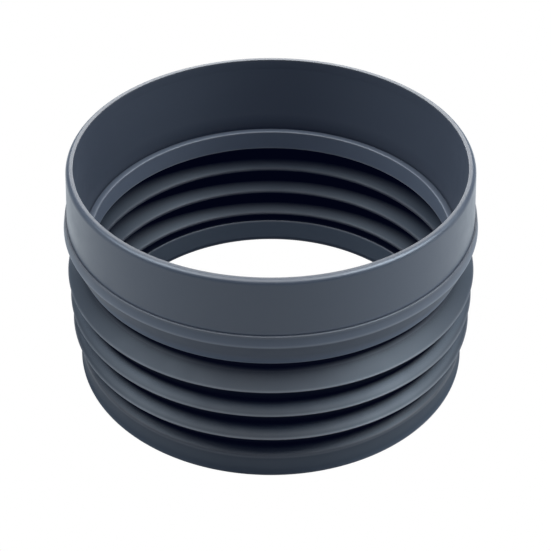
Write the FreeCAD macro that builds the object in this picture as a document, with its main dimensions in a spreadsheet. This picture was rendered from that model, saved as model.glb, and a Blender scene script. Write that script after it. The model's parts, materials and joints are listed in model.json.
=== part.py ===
import FreeCAD, Part
import math
import os

import Sketcher

# The bellows wall of a folding wash tub: a rigid collar, a soft bellows and a rigid base ring.
# Every piece is a ring turned about the tub's upright axis, +Z, and the tub stands on Z = 0.
# Lengths are in millimetres.  A profile point is (radius, height).

DRIVING = {
    # overall
    "rim_radius": 140.0,            # outside of the collar at its top
    "tub_height": 164.2,            # top of the collar above the foot
    # collar
    "rim_width": 5.0,               # lip at the top of the collar
    "mouth_land": 8.0,              # straight part of the mouth, where a lid plugs in
    "wall_flare": 2.8,              # how far the collar's outside widens towards its foot
    "wall_taper": 2.4,              # how far its inside narrows towards the ledge
    "collar_skin": 2.6,             # each skin of the cored collar
    "core_top_width": 1.6,          # the core slot at its closed end
    "core_top_drop": 22.0,          # solid collar above the core slot
    "band_overlap": 2.0,            # how deep the cuff is let into the collar's outside
    "band_end": 109.0,              # lower end of the collar's outer skin
    "skirt_end": 99.0,              # lower end of its inner skin
    # upper cuff
    "cuff_height": 124.2,           # top of the soft cuff on the outside
    "cuff_step": 1.5,               # how far the cuff stands out of the collar
    "bead_height": 116.5,
    "bead_step": 1.3,               # how far the bead stands out of the cuff's top edge
    "lip_height": 96.6,
    "lip_radius": 137.7,
    "recess_drop": 1.6,             # slope of the lip's underside
    "ledge_height": 104.0,          # shelf inside, at the cuff's inner top edge
    "ledge_width": 5.0,
    "cuff_foot_height": 88.0,
    "cuff_foot_flare": 1.3,
    # folds
    "fold_pitch": 21.13,
    "first_ridge": 78.9,
    "ridge_radius": 146.2,
    "lower_leg": 14.3,              # drop from a ridge to the groove below it
    "root_height": 89.3,            # the deep groove under the cuff's lip
    "root_radius": 132.3,
    "groove_radius": 136.8,         # the groove under the first ridge
    "groove_draft": 1.0,            # how much deeper each groove is than the one above
    "fold_wall": 3.0,
    "ridge_half": 1.2,              # half height of the stiff ring at a ridge
    "groove_half": 2.2,             # half height of the stiff ring at a groove
    "ridge_undercut": 0.7,          # how much the ridge's underside is hollowed
    # base
    "shoulder_height": 17.0,
    "shoulder_radius": 142.0,
    "foot_radius": 143.2,
    "base_top": 17.9,               # where the last fold's thin wall joins the base
    "base_ledge": 16.0,             # shelf inside, above the lower opening
    "base_ledge_radius": 130.1,
    "base_bore_radius": 125.6,
    "base_land": 3.0,               # straight part of the lower opening
    "ring_outer_radius": 139.4,
    "ring_inner_radius": 131.2,
    "ring_height": 12.0,
    "ring_skin": 2.6,
    "ring_crown": 3.0,
    # roundings
    "rim_round": 3.4,
    "bead_round": 0.7,
    "edge_round": 0.5,
    "cuff_round": 0.8,
    "foot_round": 0.5,
    "shoulder_round": 2.0,
    "ridge_round": 0.35,
    "crest_round": 2.2,             # rounded inner crest of each fold
}
FOLDS = 3
SHEET = "sizes"

document = FreeCAD.newDocument("bellows_tub_wall")
sheet = document.addObject("Spreadsheet::Sheet", SHEET)
for row, (name, value) in enumerate(DRIVING.items(), start=1):
    sheet.set(f"A{row}", name)
    sheet.set(f"B{row}", str(value))
    sheet.setAlias(f"B{row}", name)
document.recompute()


class Size:
    """A length, and the expression over the sheet that gives it."""

    def __init__(self, value, text):
        self.value = value
        self.text = text

    def __add__(self, other):
        other = as_size(other)
        return Size(self.value + other.value, f"({self.text} + {other.text})")

    def __sub__(self, other):
        other = as_size(other)
        return Size(self.value - other.value, f"({self.text} - {other.text})")

    def __mul__(self, other):
        other = as_size(other)
        return Size(self.value * other.value, f"{self.text} * {other.text}")

    def __truediv__(self, other):
        other = as_size(other)
        return Size(self.value / other.value, f"({self.text} / {other.text})")


def as_size(number):
    return number if isinstance(number, Size) else Size(float(number), repr(float(number)))


def size(name):
    """The length that the sheet holds under this name."""
    return Size(DRIVING[name], f"{SHEET}.{name}")


def slant(run, rise):
    """The length of a sloping leg."""
    text = f"sqrt({run.text} * {run.text} + {rise.text} * {rise.text})"
    return Size(math.hypot(run.value, rise.value), text)


GROUND = as_size(0)


def pin_to_origin(sketch, line, end, point):
    """Holds one end of a sketch line at a profile point."""
    radius, height = point
    across = Sketcher.Constraint("DistanceX", -1, 1, line, end, radius.value)
    sketch.setExpression(f"Constraints[{sketch.addConstraint(across)}]", radius.text)
    if height is GROUND:
        sketch.addConstraint(Sketcher.Constraint("PointOnObject", line, end, -1))
        return
    upward = Sketcher.Constraint("DistanceY", -1, 1, line, end, height.value)
    sketch.setExpression(f"Constraints[{sketch.addConstraint(upward)}]", height.text)


def circle_at(shape, point):
    """The name of the circular edge through a profile point."""
    radius, height = point
    for number, edge in enumerate(shape.Edges, start=1):
        curve = edge.Curve
        if not isinstance(curve, Part.Circle):
            continue
        if abs(curve.Radius - radius.value) < 1e-4 and abs(curve.Center.z - height.value) < 1e-4:
            return f"Edge{number}"
    raise ValueError(f"no edge at radius {radius.value}, height {height.value}")


def ring_body(name, outline, roundings=()):
    """Turns a closed outline about the axis; roundings are (radius, [profile points])."""
    body = document.addObject("PartDesign::Body", name)
    body.Label = name
    plane = [item for item in body.Origin.OriginFeatures if item.Role == "XZ_Plane"][0]
    sketch = body.newObject("Sketcher::SketchObject", f"{name}_outline")
    sketch.AttachmentSupport = [(plane, "")]
    sketch.MapMode = "FlatFace"
    corners = [FreeCAD.Vector(radius.value, height.value, 0) for radius, height in outline]
    count = len(corners)
    for index in range(count):
        sketch.addGeometry(Part.LineSegment(corners[index], corners[(index + 1) % count]), False)
    for index in range(count):
        following = (index + 1) % count
        sketch.addConstraint(Sketcher.Constraint("Coincident", index, 2, following, 1))
    for index, point in enumerate(outline):
        pin_to_origin(sketch, index, 1, point)
    turned = body.newObject("PartDesign::Revolution", f"{name}_turned")
    turned.Profile = sketch
    turned.ReferenceAxis = (sketch, ["V_Axis"])
    turned.Angle = 360.0
    sketch.Visibility = False
    document.recompute()
    for number, (radius, points) in enumerate(roundings, start=1):
        rounded = body.newObject("PartDesign::Fillet", f"{name}_rounding_{number}")
        base = body.Group[-2]
        rounded.Base = (base, [circle_at(base.Shape, point) for point in points])
        rounded.Radius = radius.value
        rounded.setExpression("Radius", radius.text)
        document.recompute()
    return body


# ---- the folds -------------------------------------------------------------------------------
# The outside of the bellows is a zigzag of corners (radius, height), from the root groove under the
# cuff's lip, by ridge and groove in turn, to the shoulder of the base.
wall = size("fold_wall")
ridge_half = size("ridge_half")
groove_half = size("groove_half")
corners = [(size("root_radius"), size("root_height"))]
for fold in range(FOLDS):
    ridge_height = size("first_ridge") - size("fold_pitch") * as_size(fold)
    groove_radius = size("groove_radius") - size("groove_draft") * as_size(fold)
    corners.append((size("ridge_radius"), ridge_height))
    corners.append((groove_radius, ridge_height - size("lower_leg")))
corners.append((size("shoulder_radius"), size("shoulder_height")))


def leg_rate(start, end):
    """Radius gained for each millimetre of height between two corners, going from start to end."""
    rise = end[1] - start[1] if end[1].value > start[1].value else start[1] - end[1]
    return (end[0] - start[0]) / rise


def leg_across(upper, lower):
    """The wall measured level, across the sloping leg between two corners."""
    rise = upper[1] - lower[1]
    return wall * slant(upper[0] - lower[0], rise) / rise


def ring_ends(index, half):
    """A stiff ring's (outer, inner) corners at its top and at its underside."""
    radius, height = corners[index]
    above, below = corners[index - 1], corners[index + 1]
    outer_top = radius + leg_rate(corners[index], above) * half
    outer_foot = radius + leg_rate(corners[index], below) * half
    top, foot = height + half, height - half
    inner_top = outer_top - leg_across(above, corners[index])
    inner_foot = outer_foot - leg_across(corners[index], below)
    return ((outer_top, top), (inner_top, top)), ((outer_foot, foot), (inner_foot, foot))


def inner_corner(index):
    """Where the inner faces of the two legs at a corner meet."""
    above, below = corners[index - 1], corners[index + 1]
    up_rate = leg_rate(corners[index], above)
    down_rate = leg_rate(corners[index], below)
    up_across = leg_across(above, corners[index])
    down_across = leg_across(corners[index], below)
    lift = (up_across - down_across) / (up_rate + down_rate)
    return (corners[index][0] + up_rate * lift - up_across, corners[index][1] + lift)


def web(name, upper_end, lower_end):
    """The thin sloping wall between two stiff rings."""
    return ring_body(name, [upper_end[0], lower_end[0], lower_end[1], upper_end[1]])


bodies = []

# ---- collar ----------------------------------------------------------------------------------
rim_radius = size("rim_radius")
tub_height = size("tub_height")
mouth_radius = rim_radius - size("rim_width")
wall_foot_radius = rim_radius + size("wall_flare")
ledge_radius = mouth_radius - size("wall_taper")
ledge_height = size("ledge_height")
cuff_height = size("cuff_height")
skin = size("collar_skin")
band_radius = wall_foot_radius - size("band_overlap")
band_end = size("band_end")
inner_skin_radius = ledge_radius + skin
outer_skin_radius = band_radius - skin
core_top = tub_height - size("core_top_drop")
skirt_end = size("skirt_end")
rim_edge = (rim_radius, tub_height)
collar_outline = [
    (mouth_radius, tub_height),
    rim_edge,
    (wall_foot_radius, cuff_height),
    (band_radius, cuff_height),
    (band_radius, band_end),
    (outer_skin_radius, band_end),
    (outer_skin_radius, core_top),
    (outer_skin_radius - size("core_top_width"), core_top),
    (inner_skin_radius, band_end),
    (inner_skin_radius, skirt_end),
    (ledge_radius, skirt_end),
    (ledge_radius, ledge_height),
    (mouth_radius, tub_height - size("mouth_land")),
]
bodies.append(ring_body("upper_collar", collar_outline, [(size("rim_round"), [rim_edge])]))

# ---- upper cuff ------------------------------------------------------------------------------
cuff_edge = (wall_foot_radius + size("cuff_step"), cuff_height)
bead = (cuff_edge[0] + size("bead_step"), size("bead_height"))
lip = (size("lip_radius"), size("lip_height"))
root = corners[0]
recess = (root[0], lip[1] - size("recess_drop"))
root_outer = (root[0] + leg_rate(root, corners[1]) * groove_half, root[1] - groove_half)
root_inner = (root_outer[0] - leg_across(root, corners[1]), root_outer[1])
ledge_edge = (ledge_radius - size("ledge_width"), ledge_height)
cuff_foot = (ledge_edge[0] + size("cuff_foot_flare"), size("cuff_foot_height"))
cuff_outline = [
    (band_radius, cuff_height),
    cuff_edge,
    bead,
    lip,
    recess,
    root,
    root_outer,
    root_inner,
    cuff_foot,
    ledge_edge,
    (ledge_radius, ledge_height),
    (ledge_radius, skirt_end),
    (inner_skin_radius, skirt_end),
    (inner_skin_radius, band_end),
    (band_radius, band_end),
]
cuff_roundings = [
    (size("cuff_round"), [cuff_edge]),
    (size("bead_round"), [bead]),
    (size("edge_round"), [ledge_edge, cuff_foot]),
]
bodies.append(ring_body("upper_cuff", cuff_outline, cuff_roundings))

# ---- ridge rings, groove rings and the webs between them ----------------------------------------
upper_end = (root_outer, root_inner)
for fold in range(1, FOLDS + 1):
    ridge_index, groove_index = 2 * fold - 1, 2 * fold
    ridge_top, ridge_foot = ring_ends(ridge_index, ridge_half)
    undercut = size("ridge_undercut")
    ridge_foot = tuple((radius - undercut, height) for radius, height in ridge_foot)
    bodies.append(web(f"fold_web_{ridge_index}", upper_end, ridge_top))
    tip = corners[ridge_index]
    ridge_outline = [
        ridge_top[0],
        tip,
        ridge_foot[0],
        ridge_foot[1],
        inner_corner(ridge_index),
        ridge_top[1],
    ]
    bodies.append(ring_body(f"crest_ring_{fold}", ridge_outline, [(size("ridge_round"), [tip])]))

    groove_top, groove_foot = ring_ends(groove_index, groove_half)
    bodies.append(web(f"fold_web_{groove_index}", ridge_foot, groove_top))
    crest = inner_corner(groove_index)
    groove_outline = [
        groove_top[0],
        corners[groove_index],
        groove_foot[0],
        groove_foot[1],
        crest,
        groove_top[1],
    ]
    bodies.append(ring_body(f"valley_ring_{fold}", groove_outline, [(size("crest_round"), [crest])]))
    upper_end = groove_foot

# ---- last web, lower cuff and base ring -------------------------------------------------------
base_top, base_ledge = size("base_top"), size("base_ledge")
last_groove, shoulder = corners[-2], corners[-1]
last_rate = leg_rate(last_groove, shoulder)
base_outer = (last_groove[0] + last_rate * (last_groove[1] - base_top), base_top)
base_inner = (base_outer[0] - leg_across(last_groove, shoulder), base_top)
ledge_root = (base_inner[0] + last_rate * (base_top - base_ledge), base_ledge)
bodies.append(web(f"fold_web_{2 * FOLDS + 1}", upper_end, (base_outer, base_inner)))
foot = (size("foot_radius"), GROUND)
bore = (size("base_bore_radius"), GROUND)
base_edge = (size("base_ledge_radius"), base_ledge)
ring_outer = size("ring_outer_radius")
ring_inner = size("ring_inner_radius")
ring_height = size("ring_height")
lower_cuff_outline = [
    base_outer,
    shoulder,
    foot,
    (ring_outer, GROUND),
    (ring_outer, ring_height),
    (ring_inner, ring_height),
    (ring_inner, GROUND),
    bore,
    (bore[0], size("base_land")),
    base_edge,
    ledge_root,
    base_inner,
]
lower_cuff_roundings = [
    (size("shoulder_round"), [shoulder]),
    (size("foot_round"), [foot]),
    (size("edge_round"), [base_edge]),
]
bodies.append(ring_body("lower_cuff", lower_cuff_outline, lower_cuff_roundings))

ring_skin = size("ring_skin")
channel_top = ring_height - size("ring_crown")
base_ring_outline = [
    (ring_outer, GROUND),
    (ring_outer, ring_height),
    (ring_inner, ring_height),
    (ring_inner, GROUND),
    (ring_inner + ring_skin, GROUND),
    (ring_inner + ring_skin, channel_top),
    (ring_outer - ring_skin, channel_top),
    (ring_outer - ring_skin, GROUND),
]
bodies.append(ring_body("base_ring", base_ring_outline))

# ---- checks and export ------------------------------------------------------------------------
document.recompute()
for item in document.Objects:
    if "Invalid" in item.State or "Error" in item.State:
        raise RuntimeError(f"{item.Name} is {item.State}")
for body in bodies:
    if body.Shape.isNull() or not body.Shape.isValid():
        raise RuntimeError(f"{body.Label} has no valid shape")
    if len(body.Shape.Solids) != 1 or body.Shape.Volume <= 0:
        raise RuntimeError(f"{body.Label} is not one solid")
os.makedirs("parts", exist_ok=True)
for body in bodies:
    body.Shape.exportStep(f"parts/{body.Label}.step")
    box = body.Shape.BoundBox
    print(f"{body.Label:14s} {body.Shape.Volume / 1000:8.2f} cm3  z {box.ZMin:7.2f} {box.ZMax:7.2f}")
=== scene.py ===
import json
import math

import bmesh
import bpy
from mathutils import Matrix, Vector


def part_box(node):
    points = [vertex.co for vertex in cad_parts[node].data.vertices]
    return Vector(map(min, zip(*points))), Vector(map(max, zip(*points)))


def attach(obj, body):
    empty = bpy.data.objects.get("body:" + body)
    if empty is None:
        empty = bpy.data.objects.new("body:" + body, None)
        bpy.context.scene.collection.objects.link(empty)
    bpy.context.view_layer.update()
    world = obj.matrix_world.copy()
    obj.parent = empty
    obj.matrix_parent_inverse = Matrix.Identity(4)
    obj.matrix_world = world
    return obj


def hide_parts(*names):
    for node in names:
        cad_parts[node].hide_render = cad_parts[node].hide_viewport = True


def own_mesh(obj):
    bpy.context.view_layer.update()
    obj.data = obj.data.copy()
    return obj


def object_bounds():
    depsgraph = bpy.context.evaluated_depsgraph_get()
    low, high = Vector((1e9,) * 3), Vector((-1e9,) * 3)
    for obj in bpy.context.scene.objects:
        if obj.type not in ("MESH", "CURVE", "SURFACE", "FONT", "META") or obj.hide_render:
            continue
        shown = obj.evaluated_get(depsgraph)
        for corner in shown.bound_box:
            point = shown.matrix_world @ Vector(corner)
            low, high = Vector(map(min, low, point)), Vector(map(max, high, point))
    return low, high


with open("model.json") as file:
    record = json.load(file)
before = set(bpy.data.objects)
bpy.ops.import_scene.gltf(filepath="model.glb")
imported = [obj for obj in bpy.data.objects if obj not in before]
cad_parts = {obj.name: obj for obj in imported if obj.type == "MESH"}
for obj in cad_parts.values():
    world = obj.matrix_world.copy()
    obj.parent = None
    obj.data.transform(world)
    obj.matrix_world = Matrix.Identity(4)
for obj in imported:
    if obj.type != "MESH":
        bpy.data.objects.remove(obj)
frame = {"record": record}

# A folding wash tub's wall: a stiff collar, a soft cuff over its foot, a bellows with three ridges
# and a foot band with a stiff ring inside.  Every piece is turned about the upright axis.  It is
# drawn as a closed outline in millimetres and lathed into a closed mesh.

cad_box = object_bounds()

MM = 0.001
FOLDS = 3


# ---- sizes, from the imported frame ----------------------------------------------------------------
def low_high(node):
    """Lowest and highest point of a CAD node's box, in millimetres."""
    low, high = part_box(node)
    return low / MM, high / MM


mounts = {mount["name"]: mount for mount in frame["record"]["mounts"]}
collar_low, collar_high = low_high("upper_collar")
cuff_low, cuff_high = low_high("upper_cuff")
_, foot_high = low_high("lower_cuff")
_, ring_high = low_high("base_ring")
ridge_low, ridge_high = low_high("crest_ring_1")
groove_low, groove_high = low_high("valley_ring_1")

# Collar: a flared wall with a flat mouth, hollow between its outer and inner skin.
RIM_TOP = collar_high.z
WALL_FOOT = collar_high.x
RIM = WALL_FOOT - 2.8
RIM_ROUND = 3.4
MOUTH = mounts["mouth_bore"]["dims"]["r_mm"]
MOUTH_LAND = mounts["mouth_bore"]["dims"]["length_mm"]
MOUTH_ROUND = 0.35
FOOT_FLARE = 0.2             # the wall's last flare, just above the cuff
FOOT_FLARE_RISE = 3.0
LEDGE_DRAFT = 0.75           # the inner wall's lean, just above the ledge
LEDGE_DRAFT_RISE = 13.5
SKIN = 2.6
CORE_TOP = RIM_TOP - 22.0
CORE_WIDTH = 1.6
BAND = WALL_FOOT - 2.0       # the seat that the cuff's upper edge grips
BAND_END = 109.0
SKIRT_END = collar_low.z

# Upper cuff: a band with a bead outside and a level ledge inside.
CUFF_TOP = cuff_high.z
CUFF_EDGE = WALL_FOOT + 1.5
CUFF_ROUND = 0.8
BEAD = CUFF_EDGE + 1.3
BEAD_TOP = 116.5
BEAD_ROUND = 0.7
LIP = 137.7
LIP_TOP = 96.6
LIP_ROUND = 0.45
RECESS_TOP = LIP_TOP - 1.6
LEDGE_TOP = mounts["inner_ledge"]["pos_m"][2] / MM
LEDGE = MOUTH - 2.4
LEDGE_EDGE = LEDGE - 5.0
LEDGE_BEVEL = 1.3
LEDGE_BEVEL_IN = 0.1
CUFF_FOOT = 88.0
EDGE_ROUND = 0.5

# Bellows: three ridges, and the grooves between them.
WALL = 3.0
RIDGE = 146.2
RIDGE_ROUND = 0.3
UNDERCUT = 0.7               # how far a ridge's underside is set back
ROOT = 132.3
GROOVE = 136.8
GROOVE_DRAFT = 1.0           # how much further in each groove is than the one above
GROOVE_ROUND = 0.8
CREST_ROUND = 2.2
RIDGE_HALF = (ridge_high.z - ridge_low.z) / 2
GROOVE_HALF = (groove_high.z - groove_low.z) / 2

# Foot band and its ring.
BASE_TOP = foot_high.z
SHOULDER = 142.0
SHOULDER_TOP = 17.0
SHOULDER_ROUND = 2.0
FOOT = 143.2
FOOT_LEDGE = 16.0
FOOT_INSIDE = 130.1          # the inner wall's radius at its ledge
BORE = mounts["foot_bore"]["dims"]["r_mm"]
BORE_LAND = mounts["foot_bore"]["dims"]["length_mm"]
BORE_ROUND = 0.4
RING_OUT = ring_high.x
RING_IN = 131.2
RING_TOP = ring_high.z
CHANNEL_TOP = RING_TOP - 3.0
CHANNEL_ROUND = 0.6
RING_ROUND = 0.3


def middle_height(node):
    """The height halfway up a CAD node's box."""
    low, high = low_high(node)
    return (low.z + high.z) / 2


# The outside of the bellows: corners (radius, height) from the root groove down to the shoulder.
folds = [(ROOT, cuff_low.z + GROOVE_HALF)]
for fold in range(FOLDS):
    folds.append((RIDGE, middle_height(f"crest_ring_{fold + 1}")))
    folds.append((GROOVE - GROOVE_DRAFT * fold, middle_height(f"valley_ring_{fold + 1}")))
folds.append((SHOULDER, SHOULDER_TOP))


def leg_rate(start, end):
    """Radius gained for each millimetre of height between two corners, going from start to end."""
    return (end[0] - start[0]) / abs(end[1] - start[1])


def leg_across(upper, lower):
    """The wall measured level, across the sloping leg between two corners."""
    rise = upper[1] - lower[1]
    return WALL * math.hypot(upper[0] - lower[0], rise) / rise


def ring_ends(index, half, undercut=0.0):
    """A stiff ring's (outer, inner) radius at its top and at its underside."""
    above, here, below = folds[index - 1:index + 2]
    outer_top = here[0] + leg_rate(here, above) * half
    outer_foot = here[0] + leg_rate(here, below) * half - undercut
    inner_top = outer_top - leg_across(above, here)
    inner_foot = outer_foot - leg_across(here, below)
    return (outer_top, inner_top), (outer_foot, inner_foot)


def inner_corner(index):
    """Where the inner faces of the two legs at a corner meet."""
    above, here, below = folds[index - 1:index + 2]
    up_across = leg_across(above, here)
    down_across = leg_across(here, below)
    up_rate = leg_rate(here, above)
    lift = (up_across - down_across) / (up_rate + leg_rate(here, below))
    return here[0] + up_rate * lift - up_across, here[1] + lift


def between(start, end, share):
    """The point this share of the way from one corner to another."""
    return tuple(one + (other - one) * share for one, other in zip(start, end))


# ---- outlines ------------------------------------------------------------------------------------
ARC_STEP = math.radians(7)   # the most that one step along a rounded corner turns
LONGEST = 1.6                # longest step along a straight run
HOLD = 0.12                  # a step this close to a corner keeps the shading of flats flat
EDGE_HIGHLIGHT_REACHES = (0.5, 1.3)    # steps beside a corner; the painted edge highlight fades out over the last one
BROAD = 3.0                  # roundings broader than this get no painted edge highlight


def corner(radius, height, rounding=0.0, painted_light=1.0):
    """A corner of an outline.

    The painted light scales the plastic's colour there: painted shade below 1, painted highlight above
    1. It blends along the wall to the next corner's.
    """
    return radius, height, rounding, painted_light


def corner_arc(before, place, after, rounding):
    """Points along a rounded corner, and whether it sticks out; one point where it stays sharp."""
    here = Vector(place)
    if rounding <= 0:
        return [here], False
    inward = (Vector(before) - here).normalized()
    onward = (Vector(after) - here).normalized()
    opening = inward.angle(onward)
    reach = rounding / math.tan(opening / 2)
    centre = here + (inward + onward).normalized() * rounding / math.sin(opening / 2)
    start = here + inward * reach - centre
    turn = math.pi - opening
    if start.y * inward.x - start.x * inward.y < 0:
        turn = -turn
    steps = max(2, math.ceil(abs(turn) / ARC_STEP))
    points = []
    for step in range(steps + 1):
        angle = turn * step / steps
        cos, sin = math.cos(angle), math.sin(angle)
        points.append(centre + Vector((start.x * cos - start.y * sin, start.x * sin + start.y * cos)))
    return points, turn < 0


def straight_run(start, end):
    """Points between two corners: closer together near each end, and no step longer than LONGEST."""
    length = (end - start).length
    if length < 4 * HOLD:
        return []
    along = (end - start) / length
    reaches = [reach for reach in (HOLD, *EDGE_HIGHLIGHT_REACHES) if reach < length / 2]
    first, last = reaches[-1], length - reaches[-1]
    steps = max(1, math.ceil((last - first) / LONGEST))
    middle = [first + (last - first) * step / steps for step in range(1, steps)]
    distances = reaches + middle + [length - reach for reach in reversed(reaches)]
    return [start + along * distance for distance in distances]


def full_outline(corners):
    """A closed outline with its in-between points, and each point's share of painted edge highlight and
    its painted light.
    """
    count = len(corners)
    arcs = []
    for index, (radius, height, rounding, painted_light) in enumerate(corners):
        before = corners[index - 1][:2]
        after = corners[(index + 1) % count][:2]
        points, outward = corner_arc(before, (radius, height), after, rounding)
        arcs.append((points, outward and rounding < BROAD, painted_light))
    points, edge_highlight, painted_lights = [], [], []
    for index, (arc, edge_lit, painted_light) in enumerate(arcs):
        following, next_edge_lit, next_painted_light = arcs[(index + 1) % count]
        points += arc
        edge_highlight += [1.0 if edge_lit else 0.0] * len(arc)
        painted_lights += [painted_light] * len(arc)
        length = (following[0] - arc[-1]).length
        for point in straight_run(arc[-1], following[0]):
            gone = (point - arc[-1]).length
            near = [0.0]
            if edge_lit:
                near.append(1 - gone / EDGE_HIGHLIGHT_REACHES[-1])
            if next_edge_lit:
                near.append(1 - (length - gone) / EDGE_HIGHLIGHT_REACHES[-1])
            points.append(point)
            edge_highlight.append(max(near))
            painted_lights.append(painted_light + (next_painted_light - painted_light) * gone / length)
    return points, edge_highlight, painted_lights


# ---- lathe ---------------------------------------------------------------------------------------
AROUND = 320                 # lathe steps around the axis
ANGLES = [2 * math.pi * step / AROUND for step in range(AROUND)]
CREASE = math.radians(28)    # a sharper edge is shaded as a crease
SIDE_SHADE_FADE = 0.8              # how far the inside's painted shade fades at the left
SIDE_LIFT = 0.33             # the least painted light in a fold there
RIGHT_SHARE = 0.75           # the right-hand side's share of both
RIGHT_GAIN = 0.45            # how much paler the inside is painted at the right, where less light falls


def painted_light_around(painted_lights, inside):
    """Painted light and least painted light of each lathed point; both change around the inside of the
    tub only.
    """
    all_painted_lights, all_lifts = [], []
    for angle in ANGLES:
        rightward = math.cos(angle)
        sideways = rightward ** 2 * (1.0 if rightward < 0 else RIGHT_SHARE)
        gain = 1 + RIGHT_GAIN * max(0.0, rightward) ** 2
        for painted_light, within in zip(painted_lights, inside):
            if within:
                faded = painted_light + max(0.0, 1 - painted_light) * SIDE_SHADE_FADE * sideways
                all_painted_lights.append(faded * gain)
                all_lifts.append(SIDE_LIFT * sideways ** 2)
            else:
                all_painted_lights.append(painted_light)
                all_lifts.append(0.0)
    return all_painted_lights, all_lifts


def lathed(name, points):
    """A closed mesh turned from a closed outline, shaded smooth but for its creases."""
    count = len(points)
    mesh = bmesh.new()
    rings = []
    for angle in ANGLES:
        cos, sin = math.cos(angle) * MM, math.sin(angle) * MM
        rings.append([mesh.verts.new((point.x * cos, point.x * sin, point.y * MM)) for point in points])
    for step in range(AROUND):
        here, there = rings[step], rings[(step + 1) % AROUND]
        for index in range(count):
            onward = (index + 1) % count
            mesh.faces.new((here[index], there[index], there[onward], here[onward])).smooth = True
    bmesh.ops.recalc_face_normals(mesh, faces=mesh.faces)
    for edge in mesh.edges:
        edge.smooth = edge.calc_face_angle() < CREASE
    data = bpy.data.meshes.new(name)
    mesh.to_mesh(data)
    mesh.free()
    return data


def turned(name, body, slot, corners, look=None):
    """Lathes an outline, which runs down the outside and up the inside, in place of a CAD node."""
    points, edge_highlight, painted_lights = full_outline(corners)
    count = len(points)
    inside = [points[(index + 1) % count].y > points[index - 1].y for index in range(count)]
    data = lathed(name, points)
    all_painted_lights, all_lifts = painted_light_around(painted_lights, inside)
    # stored on the points: the painted edge highlight, the painted light and the least painted light
    for attribute, values in (("edge_highlight", edge_highlight * AROUND), ("painted_light", all_painted_lights), ("lift", all_lifts)):
        layer = data.attributes.new(attribute, "FLOAT", "POINT")
        layer.data.foreach_set("value", values)
    data.materials.append(MATERIALS[look or slot])
    piece = bpy.data.objects.new(f"{name}_skin", data)
    bpy.context.scene.collection.objects.link(piece)
    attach(piece, body)
    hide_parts(name)
    return piece


# ---- materials -----------------------------------------------------------------------------------
FLOW_SCALE = 9.0             # slow changes of colour, per metre
MOTTLE_SCALE = 70.0          # patches in wear and gloss, per metre
MIDDLING = (0.3, 0.7)        # the span of a noise that counts
PATCHY = (0.7, 1.0)          # how much of the painted edge highlight is left in its patches
GRAIN_DEPTH = 0.02           # in millimetres, like the reaches below
GRAIN_STRENGTH = 0.35
GLOSS_SPREAD = 0.04
SHINE = 0.5                  # specular level of an open face
FOLD_REACH = 17.0            # how far a hollow's walls give each other painted shade
EDGE_REACH = 2.0
SHADE_FROM = 0.55            # open sky at which a hollow's painted shade is darkest
SHADE_TO = 0.77              # open sky at which a hollow gets no more painted shade
UNDERSIDE_FROM = -0.49       # a face that looks further down than this gets the darkest painted shade
UNDERSIDE_TO = -0.42
UNDERSIDE_PAINTED_SHADE = 0.03

BLUE_GREY = (0.056, 0.071, 0.096, 1)
BLUE_GREY_PALE = (0.061, 0.077, 0.104, 1)
# a painted highlight for the collar's convex rounded edges
BLUE_GREY_HIGHLIGHT = (0.088, 0.101, 0.121, 1)
FOLD_GREY = (0.049, 0.066, 0.088, 1)
FOLD_GREY_PALE = (0.053, 0.071, 0.095, 1)
# a painted highlight for the rubber's convex rounded edges
HIGHLIGHT_GREY = (0.105, 0.120, 0.145, 1)
BASE_GREY = (0.045, 0.056, 0.076, 1)
BASE_GREY_PALE = (0.050, 0.062, 0.083, 1)
# a painted highlight for the base's convex rounded edges
BASE_GREY_HIGHLIGHT = (0.07, 0.08, 0.10, 1)


def node(tree, kind, inputs=None, **settings):
    """Adds a shader node; inputs maps a socket name to a value or to another node's socket."""
    made = tree.nodes.new(kind)
    for key, value in settings.items():
        setattr(made, key, value)
    for key, value in (inputs or {}).items():
        socket = made.inputs[key]
        if isinstance(value, bpy.types.NodeSocket):
            tree.links.new(value, socket)
        else:
            socket.default_value = value
    return made


def combined(tree, operation, one, other):
    """One output of two values, by a math node."""
    return node(tree, "ShaderNodeMath", {0: one, 1: other}, operation=operation).outputs[0]


def ranged(tree, value, start, end, low=0.0, high=1.0):
    """A value mapped from the span start to end onto low to high, and held there beyond it."""
    inputs = {"Value": value, "From Min": start, "From Max": end, "To Min": low, "To Max": high}
    return node(tree, "ShaderNodeMapRange", inputs).outputs["Result"]


def noise(tree, place, scale, detail, roughness=0.5):
    """A noise value between 0 and 1."""
    inputs = {"Vector": place, "Scale": scale, "Detail": detail, "Roughness": roughness}
    return node(tree, "ShaderNodeTexNoise", inputs).outputs["Fac"]


def mixed(tree, share, one, other, blend="MIX"):
    """A mix of two colours."""
    inputs = {"Fac": share, "Color1": one, "Color2": other}
    return node(tree, "ShaderNodeMixRGB", inputs, blend_type=blend).outputs["Color"]


def attribute(tree, name):
    """A value stored on the mesh's points."""
    return node(tree, "ShaderNodeAttribute", attribute_name=name).outputs["Fac"]


def open_light(tree, reach, darkest):
    """How open a place is, as painted light: painted shade in hollows and on undersides, but at least
    the point's own lift.
    """
    sky = node(tree, "ShaderNodeAmbientOcclusion", {"Distance": reach * MM}, samples=8).outputs["AO"]
    recess = ranged(tree, sky, SHADE_FROM, SHADE_TO, darkest, 1.0)
    normal = node(tree, "ShaderNodeNewGeometry").outputs["Normal"]
    upward = node(tree, "ShaderNodeSeparateXYZ", {"Vector": normal}).outputs["Z"]
    underside = ranged(tree, upward, UNDERSIDE_FROM, UNDERSIDE_TO, UNDERSIDE_PAINTED_SHADE, 1.0)
    closed_in = combined(tree, "MULTIPLY", recess, underside)
    return combined(tree, "MAXIMUM", closed_in, attribute(tree, "lift"))


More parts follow.
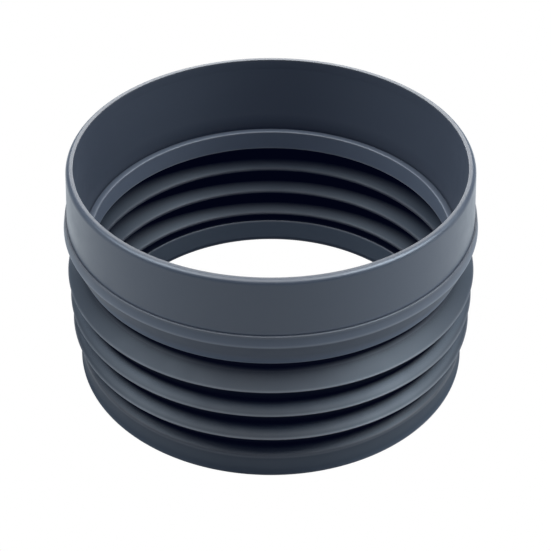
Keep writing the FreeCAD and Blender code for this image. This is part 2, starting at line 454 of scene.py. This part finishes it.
def moulded(name, colour, pale, highlight_colour, roughness, grain_size, reach, darkest):
    """Moulded plastic: fine grain, slight flow tones, painted highlights on rounded edges, painted
    shade in deep folds and on undersides.
    """
    material = bpy.data.materials.new(name)
    material.use_nodes = True
    tree = material.node_tree
    tree.nodes.clear()
    place = node(tree, "ShaderNodeTexCoord").outputs["Object"]
    flow = noise(tree, place, FLOW_SCALE, detail=4.0, roughness=0.55)
    mottle = noise(tree, place, MOTTLE_SCALE, detail=3.0)
    grain = noise(tree, place, 1 / (grain_size * MM), detail=2.0, roughness=0.6)

    # painted highlight along convex rounded edges, in patches
    patchy = ranged(tree, mottle, *MIDDLING, *PATCHY)
    edge_lit = combined(tree, "MULTIPLY", attribute(tree, "edge_highlight"), patchy)
    plastic = mixed(tree, edge_lit, mixed(tree, flow, colour, pale), highlight_colour)

    # painted light and shade: darker in hollows and on undersides, scaled by the corners' painted
    # light; it sets the colour's brightness and dims the shine in shade
    light = open_light(tree, reach, darkest)
    painted_light = combined(tree, "MAXIMUM", attribute(tree, "painted_light"), 0.0)
    painted_shade = combined(tree, "MULTIPLY", light, painted_light)
    shaded_shine = combined(tree, "MINIMUM", light, painted_shade)

    gloss = ranged(tree, mottle, *MIDDLING, roughness - GLOSS_SPREAD, roughness + GLOSS_SPREAD)
    bump = node(tree, "ShaderNodeBump",
                {"Height": grain, "Strength": GRAIN_STRENGTH, "Distance": GRAIN_DEPTH * MM})
    shader = node(tree, "ShaderNodeBsdfPrincipled", {
        "Base Color": mixed(tree, 1.0, plastic, painted_shade, blend="MULTIPLY"),
        "Roughness": gloss,
        "Normal": bump.outputs["Normal"],
        "IOR": 1.5,
        "Specular IOR Level": combined(tree, "MULTIPLY", shaded_shine, SHINE),
    })
    node(tree, "ShaderNodeOutputMaterial", {"Surface": shader.outputs["BSDF"]})
    return material


MATERIALS = {
    "collar_pp": moulded("collar_plastic", BLUE_GREY, BLUE_GREY_PALE, BLUE_GREY_HIGHLIGHT,
                         roughness=0.32, grain_size=0.45, reach=FOLD_REACH, darkest=0.35),
    "cuff": moulded("cuff_rubber", BLUE_GREY, BLUE_GREY_PALE, HIGHLIGHT_GREY,
                    roughness=0.48, grain_size=0.35, reach=EDGE_REACH, darkest=0.35),
    "soft_tpe": moulded("soft_rubber", FOLD_GREY, FOLD_GREY_PALE, HIGHLIGHT_GREY,
                        roughness=0.48, grain_size=0.35, reach=FOLD_REACH, darkest=0.02),
    "base_pp": moulded("base_plastic", BASE_GREY, BASE_GREY_PALE, BASE_GREY_HIGHLIGHT,
                       roughness=0.45, grain_size=0.45, reach=EDGE_REACH, darkest=0.02),
}


# ---- collar and upper cuff -----------------------------------------------------------------------
# Each corner's last number is its painted light: painted shade below 1, painted highlight above 1.
turned("upper_collar", "collar", "collar_pp", [
    corner(MOUTH, RIM_TOP, MOUTH_ROUND, painted_light=0.9),
    corner(RIM, RIM_TOP, RIM_ROUND),
    corner(WALL_FOOT - FOOT_FLARE, CUFF_TOP + FOOT_FLARE_RISE),
    corner(WALL_FOOT, CUFF_TOP, painted_light=1.5),
    corner(BAND, CUFF_TOP),
    corner(BAND, BAND_END),
    corner(BAND - SKIN, BAND_END),
    corner(BAND - SKIN, CORE_TOP),
    corner(BAND - SKIN - CORE_WIDTH, CORE_TOP),
    corner(LEDGE + SKIN, BAND_END),
    corner(LEDGE + SKIN, SKIRT_END),
    corner(LEDGE, SKIRT_END),
    corner(LEDGE, LEDGE_TOP, painted_light=0.42),
    corner(LEDGE + LEDGE_DRAFT, LEDGE_TOP + LEDGE_DRAFT_RISE),
    corner(MOUTH, RIM_TOP - MOUTH_LAND, painted_light=0.8),
])

PIT = 0.03                   # painted shade in the narrow groove under the cuff's lip
bead_edge, lip_edge = (BEAD, BEAD_TOP), (LIP, LIP_TOP)
root_out = ROOT + leg_rate(folds[0], folds[1]) * GROOVE_HALF
root_ends = (root_out, root_out - leg_across(folds[0], folds[1]))
# Each corner's last number is its painted light: painted shade below 1, painted highlight above 1.
turned("upper_cuff", "collar", "soft_tpe", [
    corner(BAND, CUFF_TOP),
    corner(CUFF_EDGE, CUFF_TOP, CUFF_ROUND, painted_light=0.87),
    corner(BEAD, BEAD_TOP, BEAD_ROUND, painted_light=1.55),
    corner(*between(bead_edge, lip_edge, 0.08), painted_light=0.7),
    corner(*between(bead_edge, lip_edge, 0.55), painted_light=0.95),
    corner(LIP, LIP_TOP, LIP_ROUND, painted_light=2.3),
    corner(ROOT, RECESS_TOP, GROOVE_ROUND, painted_light=PIT),
    corner(ROOT, folds[0][1], GROOVE_ROUND, painted_light=PIT),
    corner(root_ends[0], cuff_low.z, painted_light=0.6),
    corner(root_ends[1], cuff_low.z),
    corner(LEDGE_EDGE + LEDGE_BEVEL, CUFF_FOOT, EDGE_ROUND, painted_light=2.4),
    corner(LEDGE_EDGE + LEDGE_BEVEL_IN, LEDGE_TOP - LEDGE_BEVEL, painted_light=2.3),
    corner(LEDGE_EDGE, LEDGE_TOP, EDGE_ROUND, painted_light=1.6),
    corner(LEDGE, LEDGE_TOP, painted_light=0.9),
    corner(LEDGE, SKIRT_END),
    corner(LEDGE + SKIN, SKIRT_END),
    corner(LEDGE + SKIN, BAND_END),
    corner(BAND, BAND_END),
], look="cuff")


# ---- ridges, grooves and webs --------------------------------------------------------------------
DEEP = -0.9                  # painted shade inside a ridge; painted light below 0 is black
# painted shade at the bottom of each groove
GROOVE_PAINTED_SHADE = 0.02
# painted light on the inner crest of each valley ring
CREST_PAINTED_LIGHT = 0.85
LEG_PAINTED_LIGHT = {1: (0.73, 0.77), 3: (1.8, 0.82), 5: (1.8, 0.68), 7: (0.9, 1.0)}    # painted light at a leg's top and foot


def web(number, body, top, top_height, foot, foot_height):
    """The thin sloping wall between two rings' (outer, inner) ends, given a mesh of its own."""
    top_painted_light, foot_painted_light = LEG_PAINTED_LIGHT.get(number, (1.0, 1.0))
    narrows = top[0] > foot[0]
    piece = turned(f"fold_web_{number}", body, "soft_tpe", [
        corner(top[0], top_height, painted_light=top_painted_light),
        corner(foot[0], foot_height, painted_light=foot_painted_light),
        corner(foot[1], foot_height),
        corner(top[1], top_height, painted_light=DEEP if narrows else 1.0),
    ])
    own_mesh(piece)


upper_ends, upper_height = root_ends, cuff_low.z
for fold in range(1, FOLDS + 1):
    upper_leg, lower_leg = 2 * fold - 1, 2 * fold
    ridge, groove = folds[upper_leg], folds[lower_leg]
    ridge_top, ridge_foot = ridge[1] + RIDGE_HALF, ridge[1] - RIDGE_HALF
    groove_top, groove_foot = groove[1] + GROOVE_HALF, groove[1] - GROOVE_HALF
    ridge_top_ends, ridge_foot_ends = ring_ends(upper_leg, RIDGE_HALF, UNDERCUT)
    groove_top_ends, groove_foot_ends = ring_ends(lower_leg, GROOVE_HALF)
    web(upper_leg, f"crest_{fold}", upper_ends, upper_height, ridge_top_ends, ridge_top)
    turned(f"crest_ring_{fold}", f"crest_{fold}", "soft_tpe", [
        corner(ridge_top_ends[0], ridge_top, painted_light=LEG_PAINTED_LIGHT[upper_leg][1]),
        corner(*ridge, RIDGE_ROUND),
        corner(ridge_foot_ends[0], ridge_foot),
        corner(ridge_foot_ends[1], ridge_foot, painted_light=DEEP),
        corner(*inner_corner(upper_leg), painted_light=DEEP),
        corner(ridge_top_ends[1], ridge_top, painted_light=DEEP),
    ])
    web(lower_leg, f"valley_{fold}", ridge_foot_ends, ridge_foot, groove_top_ends, groove_top)
    turned(f"valley_ring_{fold}", f"valley_{fold}", "soft_tpe", [
        corner(groove_top_ends[0], groove_top),
        corner(*groove, GROOVE_ROUND, painted_light=GROOVE_PAINTED_SHADE),
        corner(groove_foot_ends[0], groove_foot, painted_light=LEG_PAINTED_LIGHT[upper_leg + 2][0]),
        corner(groove_foot_ends[1], groove_foot),
        corner(*inner_corner(lower_leg), CREST_ROUND, painted_light=CREST_PAINTED_LIGHT),
        corner(groove_top_ends[1], groove_top),
    ])
    upper_ends, upper_height = groove_foot_ends, groove_foot


# ---- foot ----------------------------------------------------------------------------------------
last_groove, shoulder_edge = folds[-2:]
foot_edge = (FOOT, 0)
last_rate = leg_rate(last_groove, shoulder_edge)
base_outer = last_groove[0] + last_rate * (last_groove[1] - BASE_TOP)
base_ends = (base_outer, base_outer - leg_across(last_groove, shoulder_edge))
web(2 * FOLDS + 1, "base", upper_ends, upper_height, base_ends, BASE_TOP)
# Each corner's last number is its painted light: painted shade below 1, painted highlight above 1.
turned("lower_cuff", "base", "soft_tpe", [
    corner(base_ends[0], BASE_TOP, painted_light=0.9),
    corner(SHOULDER, SHOULDER_TOP, SHOULDER_ROUND, painted_light=0.72),
    corner(*between(shoulder_edge, foot_edge, 0.13), painted_light=0.68),
    corner(*between(shoulder_edge, foot_edge, 0.7)),
    corner(FOOT, 0, EDGE_ROUND, painted_light=1.8),
    corner(RING_OUT, 0),
    corner(RING_OUT, RING_TOP),
    corner(RING_IN, RING_TOP),
    corner(RING_IN, 0),
    corner(BORE, 0, BORE_ROUND, painted_light=1.5),
    corner(BORE, BORE_LAND, painted_light=1.2),
    corner(FOOT_INSIDE, FOOT_LEDGE, EDGE_ROUND, painted_light=1.2),
    corner(base_ends[1] + last_rate * (BASE_TOP - FOOT_LEDGE), FOOT_LEDGE),
    corner(base_ends[1], BASE_TOP),
])
turned("base_ring", "base", "base_pp", [
    corner(RING_OUT, 0),
    corner(RING_OUT, RING_TOP),
    corner(RING_IN, RING_TOP),
    corner(RING_IN, 0),
    corner(RING_IN + SKIN, 0, RING_ROUND),
    corner(RING_IN + SKIN, CHANNEL_TOP, CHANNEL_ROUND),
    corner(RING_OUT - SKIN, CHANNEL_TOP, CHANNEL_ROUND),
    corner(RING_OUT - SKIN, 0, RING_ROUND),
])


# ---- floor ---------------------------------------------------------------------------------------
FLOOR_GLOSSY = 1.0           # the floor's own light, as highlights see it
FLOOR_DIFFUSE = 0.325        # and as soft light
FLOOR_TINT = (0.92, 1.0, 1.06, 1)
FLOOR_FADE = 1.1             # how far from the axis the floor's light is full, in ridge radii
FLOOR_REACH = 6.0
WHITE = (1, 1, 1, 1)


def pale_stage(name):
    """A white floor; around the tub it also throws soft light back, inside the tub it doesn't."""
    material = bpy.data.materials.new(name)
    material.use_nodes = True
    tree = material.node_tree
    tree.nodes.clear()
    path = node(tree, "ShaderNodeLightPath").outputs
    place = node(tree, "ShaderNodeNewGeometry").outputs["Position"]
    away = node(tree, "ShaderNodeVectorMath", {0: place}, operation="LENGTH").outputs["Value"]
    around = ranged(tree, away, RIDGE * MM, FLOOR_FADE * RIDGE * MM)
    level = ranged(tree, path["Is Glossy Ray"], 0.0, 1.0, FLOOR_DIFFUSE, FLOOR_GLOSSY)
    strength = combined(tree, "MULTIPLY", around, level)
    bounce = node(tree, "ShaderNodeEmission", {"Color": FLOOR_TINT, "Strength": strength})
    white = node(tree, "ShaderNodeEmission", {"Color": WHITE, "Strength": 1.0})
    pick = node(tree, "ShaderNodeMixShader",
                {0: path["Is Camera Ray"], 1: bounce.outputs[0], 2: white.outputs[0]})
    node(tree, "ShaderNodeOutputMaterial", {"Surface": pick.outputs[0]})
    return material


def square(reach):
    """The corners of a level square around the origin."""
    return [(-reach, -reach, 0), (reach, -reach, 0), (reach, reach, 0), (-reach, reach, 0)]


floor_mesh = bpy.data.meshes.new("floor")
floor_mesh.from_pydata(square(FLOOR_REACH), [], [(0, 1, 2, 3)])
floor_mesh.materials.append(pale_stage("pale_floor"))
floor = bpy.data.objects.new("floor", floor_mesh)
bpy.context.scene.collection.objects.link(floor)
floor.visible_shadow = False


# ---- lights --------------------------------------------------------------------------------------
MIDDLE = (0, 0, (cad_box[0][2] + cad_box[1][2]) / 2)
HIGHLIGHT_SHARE = 1.3        # a side's highlight light, against its soft light
HIGHLIGHT_TINT = (0.8, 0.93, 1.05)
FILL = 0.02
FILL_TINT = (0.55, 0.75, 1, 1)
BLACK_LEVEL = (-0.0006, -0.0012, -0.006)


def softbox(name, place, width, height, power):
    """A rectangular light that points at the middle of the tub."""
    light = bpy.data.lights.new(name, "AREA")
    light.shape = "RECTANGLE"
    light.size = width
    light.size_y = height
    light.energy = power
    lamp = bpy.data.objects.new(name, light)
    lamp.location = place
    lamp.rotation_euler = (Vector(MIDDLE) - Vector(place)).to_track_quat("-Z", "Y").to_euler()
    bpy.context.scene.collection.objects.link(lamp)
    return lamp


def side_lights(name, side, power):
    """One side's soft light, and a higher one that only makes its highlights."""
    soft = softbox(f"{name}_soft", (side * 1.15, -0.05, 0.45), width=0.8, height=1.1, power=power)
    soft.visible_glossy = False
    highlight = softbox(f"{name}_highlight", (side * 0.8, -0.1, 1.15), width=0.7, height=0.8,
                        power=HIGHLIGHT_SHARE * power)
    highlight.visible_diffuse = False
    highlight.data.color = HIGHLIGHT_TINT


def studio_world(name):
    """White where the camera sees it, and a weak cool fill light otherwise."""
    world = bpy.data.worlds.new(name)
    world.use_nodes = True
    tree = world.node_tree
    tree.nodes.clear()
    camera_ray = node(tree, "ShaderNodeLightPath").outputs["Is Camera Ray"]
    seen = node(tree, "ShaderNodeBackground", {"Color": WHITE, "Strength": 1.0})
    fill = node(tree, "ShaderNodeBackground", {"Color": FILL_TINT, "Strength": FILL})
    pick = node(tree, "ShaderNodeMixShader", {0: camera_ray, 1: fill.outputs[0], 2: seen.outputs[0]})
    node(tree, "ShaderNodeOutputWorld", {"Surface": pick.outputs[0]})
    return world


softbox("overhead", (0, 0, 1.3), width=1.3, height=1.3, power=22)
softbox("behind", (0, 1.3, 0.75), width=1.4, height=0.8, power=16)
side_lights("left", -1, power=8.0)
side_lights("right", 1, power=14.5)
bpy.context.scene.world = studio_world("studio")
view = bpy.context.scene.view_settings
view.view_transform = "Standard"
view.use_curve_mapping = True
view.curve_mapping.black_level = BLACK_LEVEL


# ---- camera --------------------------------------------------------------------------------------
ELEVATION = math.radians(38.10)
DISTANCE = 6.877 * RIM * MM
TARGET = Vector((0, 0, 0.4235 * RIM * MM))
LENS = 85.56
SENSOR = 36
SHIFT = (0.0084, 0.0010)

camera_data = bpy.data.cameras.new("camera")
camera_data.lens = LENS
camera_data.sensor_width = SENSOR
camera_data.shift_x, camera_data.shift_y = SHIFT
camera = bpy.data.objects.new("camera", camera_data)
camera.location = TARGET + DISTANCE * Vector((0, -math.cos(ELEVATION), math.sin(ELEVATION)))
camera.rotation_euler = (TARGET - camera.location).to_track_quat("-Z", "Y").to_euler()
bpy.context.scene.collection.objects.link(camera)
bpy.context.scene.camera = camera
